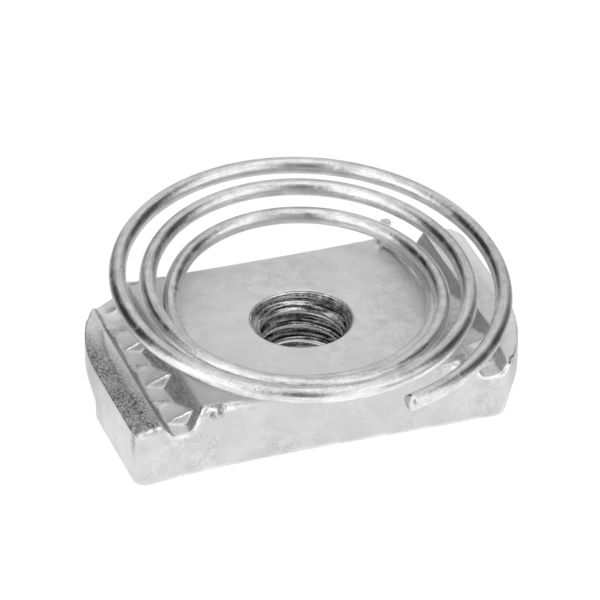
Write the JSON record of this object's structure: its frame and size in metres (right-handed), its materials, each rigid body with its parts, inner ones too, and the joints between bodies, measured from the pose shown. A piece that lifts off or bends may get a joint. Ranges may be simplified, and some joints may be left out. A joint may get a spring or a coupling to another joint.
{
  "type": "strut spring nut",
  "caption": "Oblong steel channel nut with serrated grooves, a tapped centre hole and a flat spiral spring on its toothed face.",
  "frame": {"origin": "middle of the tapped hole, on its axis and halfway through the nut's thickness", "axes": "+X along the nut, +Y across it towards the corner with the staked lug, +Z out of the toothed face towards the spring"},
  "size_m": [0.035, 0.0344, 0.0115],
  "materials": {
    "plated_steel": "bright zinc plate, satin",
    "spring_wire": "bright zinc plated spring wire"
  },
  "bodies": {
    "root": {"nut_body": "plated_steel", "coil_spring": "spring_wire"}
  },
  "joints": []
}
